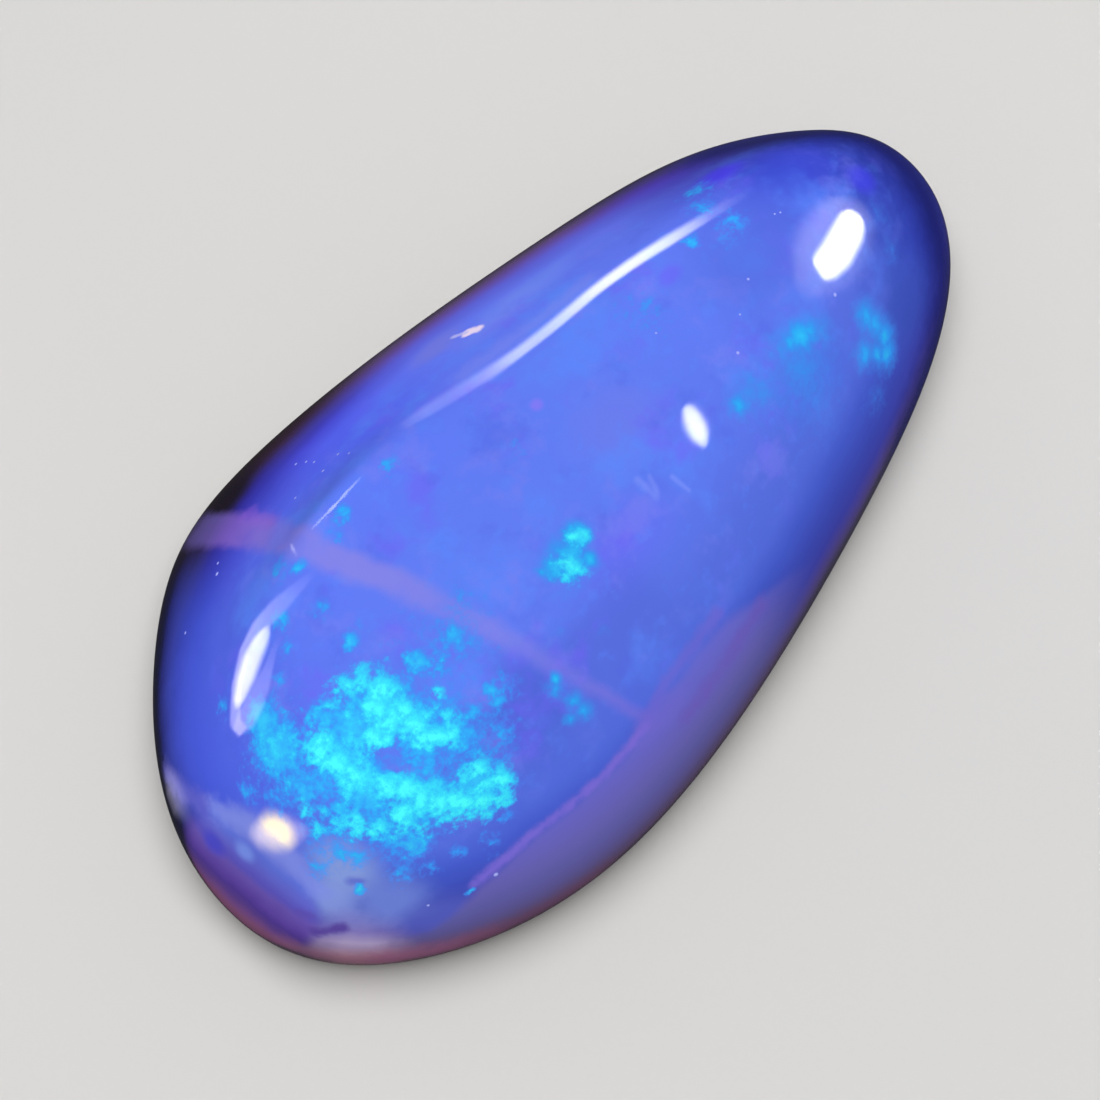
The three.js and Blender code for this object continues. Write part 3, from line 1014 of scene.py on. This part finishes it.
    def lifted(self, recipe: StoneRecipe, colour: Value) -> Value:
        """Lift the colours of the walls, which less light reaches.

        Args:
            recipe: the material's recipe.
            colour: the colour so far.

        Returns:
            The lifted colour.
        """
        under = recipe.sum("DIVIDE", recipe.sum("SUBTRACT", self.lift_top, recipe.z), self.lift_span)
        rise = recipe.sum("MAXIMUM", under, 0.0)
        lift = recipe.sum("MULTIPLY_ADD", rise, self.lift_rise, self.lift_least)
        return recipe.shift(recipe.scaled(colour, lift), self.lift_cap, "MINIMUM")

    def mottle(self, recipe: StoneRecipe, colour: Value) -> Value:
        """Mottle the face softly.

        Args:
            recipe: the material's recipe.
            colour: the colour so far.

        Returns:
            The mottled colour.
        """
        on_face = recipe.step(recipe.z, *self.mottled_above)
        for mottle in self.mottles:
            own = (mottle.lumps.per_mm, mottle.lumps.per_mm, mottle.edge[0])
            moved = recipe.shift(recipe.place, tuple(a * b for a, b in zip(own, self.mottle_moves)))
            blotch = recipe.step(recipe.noise(moved, mottle.lumps), *mottle.edge, mottle.share)
            colour = recipe.blend(recipe.sum("MULTIPLY", blotch, on_face), colour, mottle.tint)
        return colour

    def clouds(self, recipe: StoneRecipe, colour: Value, pools: tuple[Pool, ...]) -> Value:
        """Lay soft colour clouds over a colour, one after another.

        Args:
            recipe: the material's recipe.
            colour: the colour so far.
            pools: the clouds.

        Returns:
            The colour with the clouds.
        """
        lumps = self.edge_lumps(recipe)
        for pool in pools:
            colour = recipe.blend(self.inside(recipe, lumps, pool), colour, pool.tint)
        return colour

    def edge_lumps(self, recipe: StoneRecipe) -> Value:
        """Give the unevenness that the edges of all clouds share."""
        return recipe.sum("MULTIPLY", recipe.noise(recipe.place, self.cloud_lumps), self.cloud_lumps.size)

    def inside(self, recipe: StoneRecipe, lumps: Value, pool: Pool) -> Value:
        """Measure how far a place is inside a cloud.

        Args:
            recipe: the material's recipe.
            lumps: the unevenness of the cloud's edge.
            pool: the cloud.

        Returns:
            The cloud's share at the place: all of it in the middle, nothing outside.
        """
        scale = tuple(1 / reach for reach in pool.reach)
        offset = tuple(-part / reach for part, reach in zip(pool.middle, pool.reach))
        away = recipe.node("VectorMath", {0: recipe.place, 1: scale, 2: offset}, operation="MULTIPLY_ADD")
        distance = recipe.node("VectorMath", {0: away.outputs["Vector"]}, operation="LENGTH").outputs["Value"]
        return recipe.step(recipe.sum("ADD", distance, lumps), *self.cloud_edge, pool.share)

    def foot(self, recipe: StoneRecipe, colour: Value, stone: PolishedStone) -> Value:
        """Colour the foot of the wide end: the milky flow at its corner, then the small facet.

        Args:
            recipe: the material's recipe.
            colour: the colour so far.
            stone: the stone's form, which says where the facet is.

        Returns:
            The colour with the foot.
        """
        level = recipe.uneven(recipe.z, self.foot_lumps)
        within = self.inside(recipe, self.edge_lumps(recipe), self.milky)
        colour = recipe.blend(within, colour, recipe.ramp(level, self.milky_colours))
        tilt = math.radians(stone.facet_lean)
        behind = recipe.sum("MULTIPLY_ADD", recipe.x, math.cos(tilt), stone.facet_reach)
        behind = recipe.sum("MULTIPLY_ADD", recipe.z, -math.sin(tilt), behind)
        facet = recipe.ramp(level, self.facet_colours)
        return recipe.blend(recipe.step(behind, *self.facet_edge), colour, facet)

    def potch(self, recipe: StoneRecipe, colour: Value) -> Value:
        """Lay the mauve potch under its crest.

        Args:
            recipe: the material's recipe.
            colour: the colour so far.

        Returns:
            The colour with the potch.
        """
        crest = recipe.profile(recipe.x, self.potch_crest)
        over = recipe.sum("SUBTRACT", recipe.y, self.potch_y)
        over = recipe.sum("MULTIPLY_ADD", over, self.potch_fall, recipe.z)
        over = recipe.uneven(recipe.sum("SUBTRACT", over, crest), self.potch_lumps)
        under = recipe.step(over, *self.potch_edge, self.potch_share)
        under = recipe.sum("MULTIPLY", under, recipe.step(recipe.x, *self.potch_fade))
        return recipe.blend(under, colour, recipe.ramp(recipe.z, self.potch_colours))

    def seam(self, recipe: StoneRecipe, colour: Value) -> Value:
        """Run the mauve seam across the stone.

        Args:
            recipe: the material's recipe.
            colour: the colour so far.

        Returns:
            The colour with the seam.
        """
        off = recipe.sum("SUBTRACT", recipe.x, recipe.profile(recipe.y, self.seam_path))
        off = recipe.uneven(off, self.seam_lumps)
        half_width = recipe.sum("MULTIPLY_ADD", recipe.y, self.seam_widening, self.seam_half_width)
        outside = recipe.sum("SUBTRACT", recipe.sum("ABSOLUTE", off), half_width)
        near = recipe.step(outside, self.seam_soft, -self.seam_soft)
        near = recipe.sum("MULTIPLY", near, recipe.profile(recipe.y, self.seam_shares))
        near = recipe.sum("MULTIPLY", near, recipe.step(recipe.y, *self.seam_end))
        full = recipe.step(recipe.noise(recipe.place, self.seam_thinning), *self.seam_thin_edge)
        full = recipe.sum("MULTIPLY_ADD", full, 1 - self.seam_least, self.seam_least)
        near = recipe.sum("MULTIPLY", near, full)
        return recipe.blend(near, colour, recipe.ramp(recipe.z, self.seam_colours))

    def strokes(self, recipe: StoneRecipe, colour: Value) -> Value:
        """Draw the streaks, a little ragged at their edges.

        Args:
            recipe: the material's recipe.
            colour: the colour so far.

        Returns:
            The colour with the streaks.
        """
        lumps = recipe.sum("SUBTRACT", recipe.noise(recipe.place, self.streak_lumps), NOISE_MIDDLE)
        for streak in self.streaks:
            spots = [Vector(spot) for spot in streak.spots]
            away = recipe.span_to_line(recipe.place, spots[0], spots[1])
            for start, end in zip(spots[1:], spots[2:]):
                away = recipe.sum("MINIMUM", away, recipe.span_to_line(recipe.place, start, end))
            rough = min(streak.half_width * self.raggedness, self.most_ragged)
            ragged = recipe.sum("MULTIPLY_ADD", lumps, rough, away)
            inner = streak.half_width * (1 - streak.soft)
            share = recipe.step(ragged, streak.half_width, inner, streak.share)
            colour = recipe.blend(share, colour, streak.tint)
        return colour

    def lobe_field(
        self, recipe: Recipe, place: Place, stone: PolishedStone, lobes: tuple[Lobe, ...], melt: float
    ) -> Value:
        """Give the glow over a group of lobes: each one's own in its middle, falling off outwards.

        Args:
            recipe: the material's recipe.
            place: the place in the stone, in millimetres.
            stone: the stone's form, which says how high each lobe lies.
            lobes: the lobes.
            melt: how softly lobes run together.

        Returns:
            The strongest glow at the place.
        """
        tops, _ = stone.tops(*np.array([(lobe.x, lobe.y) for lobe in lobes]).T)
        strongest = self.no_glow
        for lobe, top in zip(lobes, tops):
            glow = lobe.glow.value
            fall = -self.lobe_fall * glow / lobe.radius
            here = recipe.sum("MULTIPLY_ADD", recipe.span(place, tuple(top)), fall, glow)
            strongest = recipe.sum("SMOOTH_MAX", here, strongest, melt)
        return strongest

    def play(self, recipe: StoneRecipe, colour: Value, stone: PolishedStone, layer: Flakes) -> Value:
        """Scatter one layer of play of colour, ragged at its edges and mottled inside.

        Args:
            recipe: the material's recipe.
            colour: the colour so far.
            stone: the stone's form.
            layer: the layer.

        Returns:
            The colour with the layer.
        """
        stray = recipe.cloudy(recipe.place, self.wander)["Color"]
        stray = recipe.shift(stray, (-NOISE_MIDDLE, -NOISE_MIDDLE, -NOISE_MIDDLE))
        near = recipe.shift(recipe.place, recipe.scaled(stray, layer.wander))
        shine = self.lobe_field(recipe, near, stone, layer.lobes, layer.melt)
        if layer.gaps:
            gaps = recipe.sum("MAXIMUM", self.lobe_field(recipe, near, stone, layer.gaps, layer.melt), 0.0)
            shine = recipe.sum("SUBTRACT", shine, gaps)
        grain = recipe.sum("SUBTRACT", recipe.noise(recipe.place, self.grain), NOISE_MIDDLE)
        shine = recipe.sum("MULTIPLY_ADD", grain, layer.grain, shine)
        return recipe.blend(recipe.step(shine, 0.0, layer.full_at), colour, recipe.ramp(shine, layer.stops))

    def speckle(self, recipe: StoneRecipe, colour: Value, stone: PolishedStone) -> Value:
        """Sprinkle the tiny pale specks just under the polish over a colour."""
        shine = self.lobe_field(recipe, recipe.place, stone, self.specks, self.speck_melt)
        return recipe.blend(recipe.step(shine, *self.speck_edge), colour, self.speck_tint)


@dataclass(frozen=True)
class Knot:
    """One place along a highlight: where it runs on the stone, how wide it is there and how bright."""

    x: float
    y: float
    half_width: float
    glow: float = 1.0


@dataclass(frozen=True)
class Panel:
    """A light panel, bent so that the polish mirrors it as a highlight along a row of knots."""

    name: str
    knots: tuple[Knot, ...]
    strength: float
    tint: Tint = WHITE
    # How much of the half width fades, on the side to the left of the path and on its right
    soft_left: float = 0.5
    soft_right: float = 0.5
    # How far it hangs from the stone, in millimetres
    distance: float = 14.0
    # How finely it is divided
    steps_along: int = 60
    steps_across: int = 16

    def lattice(self) -> tuple[np.ndarray, np.ndarray, np.ndarray]:
        """Lay a lattice of spots over the highlight.

        Returns:
            The spots' x, their y and how brightly each glows, a row for each step along.
        """
        table = np.array([(knot.x, knot.y, knot.half_width, knot.glow) for knot in self.knots])
        gone = np.concatenate([[0.0], np.cumsum(np.hypot(*np.diff(table[:, :2], axis=0).T))])
        at = np.linspace(0.0, gone[-1], self.steps_along)
        x, y, half_width, glow = (np.interp(at, gone, column) for column in table.T)
        run_x, run_y = np.gradient(x, at), np.gradient(y, at)
        length = np.hypot(run_x, run_y)
        across = np.linspace(-1.0, 1.0, self.steps_across)
        soft = np.where(across > 0, self.soft_left, self.soft_right)
        edge = np.clip((1 - np.abs(across)) / soft, 0, 1)
        edge = edge * edge * (3 - 2 * edge)
        x = x[:, None] - (run_y / length * half_width)[:, None] * across
        y = y[:, None] + (run_x / length * half_width)[:, None] * across
        return x, y, glow[:, None] * edge


@dataclass
class Studio:
    """The pale floor, the soft light from above, the panels that the polish mirrors, and the camera."""

    # The floor, and the size, height and power of the lamp over it, in metres and watts
    floor_size: float = 3.0
    floor_tint: Tint = Tint(199, 198, 196)
    floor_roughness: float = 0.85
    key_size: float = 0.16
    key_height: float = 0.2
    key_power: float = 0.419
    # How brightly the sky lights the stone, and how brightly the polish mirrors it
    sky_light: float = 0.327
    mirrored_sky: float = 0.03
    # Where the camera stands, in degrees and millimetres, and what it looks at
    azimuth: float = -50.0
    elevation: float = 70.0
    distance: float = 51.5
    target: Spot = (-1.0, -0.53, 2.4)
    # Its lens and the width of its sensor, in millimetres, and the nearest that it sees, in metres
    lens: float = 100.0
    sensor: float = 36.0
    nearest: float = 0.001
    # The panels, each with its highlight's knots from one end to the other
    panels: tuple[Panel, ...] = (
        Panel("shoulder_strip", (
            Knot(-1.7, 2.12, 0.12, 0.0), Knot(-1.2, 1.98, 0.2, 0.09), Knot(-0.8, 1.86, 0.21, 0.09),
            Knot(-0.4, 1.74, 0.2, 0.14), Knot(0.0, 1.62, 0.19, 0.24), Knot(0.36, 1.52, 0.17, 0.5),
            Knot(0.7, 1.45, 0.16, 0.54), Knot(1.06, 1.39, 0.16, 0.54), Knot(1.4, 1.34, 0.16, 0.62),
            Knot(1.8, 1.3, 0.16, 0.7), Knot(2.2, 1.26, 0.16, 0.85), Knot(2.55, 1.2, 0.165, 0.9),
            Knot(3.0, 1.1, 0.17, 0.92), Knot(3.3, 1.02, 0.17, 0.94), Knot(3.7, 0.91, 0.17, 0.9),
            Knot(4.15, 0.79, 0.15, 0.6), Knot(4.6, 0.68, 0.14, 0.15), Knot(5.05, 0.57, 0.12, 0.05),
            Knot(5.4, 0.49, 0.08, 0.0),
        ), 16.0, soft_left=1.0),
        Panel("left_crescent", (
            Knot(-6.8, 1.12, 0.05, 0.0), Knot(-6.66, 1.18, 0.14, 0.8), Knot(-6.35, 1.29, 0.23),
            Knot(-6.05, 1.4, 0.24), Knot(-5.78, 1.46, 0.2), Knot(-5.62, 1.49, 0.13, 0.8),
            Knot(-5.5, 1.51, 0.04, 0.0),
        ), 17.0, soft_left=0.8, soft_right=0.7),
        Panel("left_halo_outer", (
            Knot(-7.0, 0.8, 0.12, 0.8), Knot(-6.95, 1.02, 0.12), Knot(-6.5, 1.38, 0.11),
            Knot(-6.0, 1.62, 0.13), Knot(-5.6, 1.64, 0.2), Knot(-5.2, 1.58, 0.2, 0.8),
            Knot(-4.85, 1.52, 0.14, 0.45), Knot(-4.4, 1.46, 0.06, 0.0),
        ), 5.0, Tint(245, 235, 255), distance=15.0),
        Panel("left_halo_inner", (
            Knot(-7.05, 0.9, 0.12, 0.8), Knot(-6.85, 0.88, 0.24), Knot(-6.6, 0.9, 0.24),
            Knot(-6.3, 0.97, 0.18, 0.9), Knot(-6.05, 1.05, 0.11, 0.7), Knot(-5.8, 1.15, 0.07, 0.3),
            Knot(-5.5, 1.25, 0.05, 0.0),
        ), 4.6, Tint(245, 235, 255), distance=16.0),
        Panel("end_window", (
            Knot(4.97, -1.3, 0.14, 0.0), Knot(5.04, -1.32, 0.24), Knot(5.19, -1.33, 0.3),
            Knot(5.52, -1.31, 0.33), Knot(6.0, -1.19, 0.32), Knot(6.22, -1.11, 0.28),
            Knot(6.34, -1.07, 0.2), Knot(6.43, -1.04, 0.09, 0.0),
        ), 28.0, soft_left=0.45),
        Panel("end_halo", (
            Knot(4.4, -1.5, 0.1, 0.0), Knot(4.7, -1.38, 0.4, 0.5), Knot(5.1, -1.28, 0.66, 0.9),
            Knot(5.5, -1.18, 0.74), Knot(6.0, -1.08, 0.7), Knot(6.4, -1.0, 0.52, 0.9),
            Knot(6.66, -0.9, 0.2, 0.0),
        ), 4.0, Tint(255, 246, 240), soft_right=0.9, distance=16.0),
        Panel("face_lamp", (
            Knot(1.56, -1.25, 0.03, 0.0), Knot(1.53, -1.31, 0.13, 0.8), Knot(1.46, -1.45, 0.21),
            Knot(1.38, -1.6, 0.24), Knot(1.3, -1.76, 0.2), Knot(1.25, -1.88, 0.1, 0.7),
            Knot(1.22, -1.95, 0.03, 0.0),
        ), 26.0, soft_left=0.6, soft_right=0.7),
        Panel("warm_lamp", (
            Knot(-8.03, -0.1, 0.1, 0.0), Knot(-7.93, -0.3, 0.26, 0.8), Knot(-7.8, -0.57, 0.32),
            Knot(-7.7, -0.76, 0.3, 0.9), Knot(-7.57, -0.94, 0.18, 0.5), Knot(-7.48, -1.06, 0.06, 0.0),
        ), 10.0, Tint(255, 226, 170), soft_left=0.9, soft_right=0.9),
        Panel("side_glint", (
            Knot(-7.9, 2.0, 0.1, 0.0), Knot(-8.08, 1.65, 0.2), Knot(-8.22, 1.35, 0.22),
            Knot(-8.38, 0.95, 0.12, 0.0),
        ), 1.2, Tint(225, 220, 255), soft_left=0.9, soft_right=0.9),
        Panel("hair_line", (
            Knot(-2.7, 1.96, 0.02, 0.0), Knot(-3.0, 1.97, 0.025, 0.7), Knot(-3.4, 1.975, 0.03),
            Knot(-3.9, 2.0, 0.02, 0.3),
        ), 9.0),
        Panel("hair_hook", (
            Knot(-4.27, 2.14, 0.02, 0.3), Knot(-4.33, 2.03, 0.035), Knot(-4.4, 1.88, 0.02, 0.2),
        ), 3.5),
    )

    def back(self) -> Vector:
        """Work out which way the camera lies.

        Returns:
            The direction from the stone to the camera.
        """
        turn, lift = math.radians(self.azimuth), math.radians(self.elevation)
        flat = math.cos(lift)
        return Vector((math.sin(turn) * flat, -math.cos(turn) * flat, math.sin(lift)))

    def eye(self) -> Vector:
        """Give the camera's place, in millimetres."""
        return Vector(self.target) + self.back() * self.distance

    def set_camera(self) -> None:
        """Make the camera, which looks down on the stone from the lower left of its length."""
        data = bpy.data.cameras.new("camera")
        data.lens, data.sensor_width, data.clip_start = self.lens, self.sensor, self.nearest
        camera = add_object("camera", data)
        camera.location = self.eye() * MM
        camera.rotation_euler = (-self.back()).to_track_quat("-Z", "Y").to_euler()
        bpy.context.scene.camera = camera

    def lay_floor(self) -> None:
        """Lay the pale floor under the stone."""
        half = self.floor_size / 2
        mesh = bpy.data.meshes.new("floor")
        corners = [(-half, -half, 0), (half, -half, 0), (half, half, 0), (-half, half, 0)]
        mesh.from_pydata(corners, [], [(0, 1, 2, 3)])
        floor = add_object("floor", mesh)
        material = bpy.data.materials.new("floor")
        recipe = Recipe(material)
        inputs = {"Base Color": self.floor_tint, "Roughness": self.floor_roughness}
        shader = recipe.node("BsdfPrincipled", inputs)
        recipe.node("OutputMaterial", {"Surface": shader.outputs["BSDF"]})
        mesh.materials.append(material)
        floor.visible_glossy = False

    def light_room(self) -> None:
        """Light the stone evenly: a dim sky and a large soft lamp overhead."""
        world = bpy.data.worlds.new("room")
        bpy.context.scene.world = world
        recipe = Recipe(world)
        mirrored = recipe.node("LightPath", {}).outputs["Is Glossy Ray"]
        ends = {"To Min": self.sky_light, "To Max": self.mirrored_sky}
        strength = recipe.node("MapRange", {"Value": mirrored, **ends}).outputs["Result"]
        sky = recipe.node("Background", {"Color": WHITE, "Strength": strength})
        recipe.node("OutputWorld", {"Surface": sky.outputs["Background"]})
        lamp = bpy.data.lights.new("overhead", "AREA")
        lamp.shape, lamp.size, lamp.energy = "DISK", self.key_size, self.key_power
        key = add_object("overhead", lamp)
        key.location = (0, 0, self.key_height)
        key.visible_glossy = False
        bpy.context.scene.view_settings.view_transform = "Standard"

    def hang_panel(self, panel: Panel, stone: PolishedStone) -> None:
        """Hang one panel so that the polish mirrors it into the camera.

        Args:
            panel: the panel and the highlight that it makes.
            stone: the stone's form.
        """
        x, y, glow = panel.lattice()
        spots, outward = stone.tops(x.ravel(), y.ravel())
        looks = spots - np.array(self.eye())
        looks /= np.linalg.norm(looks, axis=1, keepdims=True)
        ways = looks - 2 * np.sum(looks * outward, axis=1, keepdims=True) * outward
        points = (spots + ways * panel.distance) * MM

        rows, columns = glow.shape
        corner = np.arange((rows - 1) * columns).reshape(rows - 1, columns)[:, :-1].ravel()
        faces = np.stack([corner, corner + 1, corner + columns + 1, corner + columns], axis=1)
        mesh = bpy.data.meshes.new(panel.name)
        mesh.from_pydata(points.tolist(), [], faces.tolist())
        mesh.attributes.new("glow", "FLOAT", "POINT").data.foreach_set("value", glow.ravel())
        mesh.materials.append(self.panel_glow(panel))
        made = add_object(panel.name, mesh)
        for ray in ("camera", "diffuse", "shadow", "transmission"):
            setattr(made, "visible_" + ray, False)

    def panel_glow(self, panel: Panel) -> bpy.types.Material:
        """Make a panel's glow, which adds to whatever shines behind it.

        Args:
            panel: the panel that glows.

        Returns:
            The glowing material.
        """
        material = bpy.data.materials.new(panel.name)
        # Only the polish sees a panel, so no light has to be sought from it elsewhere
        material.cycles.emission_sampling = "NONE"
        recipe = Recipe(material)
        share = recipe.node("Attribute", {}, attribute_name="glow").outputs["Fac"]
        strength = recipe.sum("MULTIPLY", share, panel.strength)
        light = recipe.node("Emission", {"Color": panel.tint, "Strength": strength})
        clear = recipe.node("BsdfTransparent", {})
        both = recipe.node("AddShader", {0: light.outputs["Emission"], 1: clear.outputs["BSDF"]})
        recipe.node("OutputMaterial", {"Surface": both.outputs["Shader"]})
        return material

    def set_up(self, stone: PolishedStone) -> None:
        """Set up the camera, the floor and every light.

        Args:
            stone: the stone's form, which the panels are bent to.
        """
        self.set_camera()
        self.lay_floor()
        self.light_room()
        for panel in self.panels:
            self.hang_panel(panel, stone)


def main() -> None:
    """Build the stone, dress it and set up the studio."""
    logging.basicConfig(level=logging.INFO, format="%(name)s: %(message)s")
    stone = PolishedStone()
    piece = stone.build()
    log.info("%s has %d faces", piece.name, len(piece.data.polygons))
    OpalFinish().paint(stone, piece)
    log.info("%s is painted", piece.name)
    studio = Studio()
    studio.set_up(stone)
    log.info("the studio has %d panels", len(studio.panels))


if __name__ == "__main__":
    main()
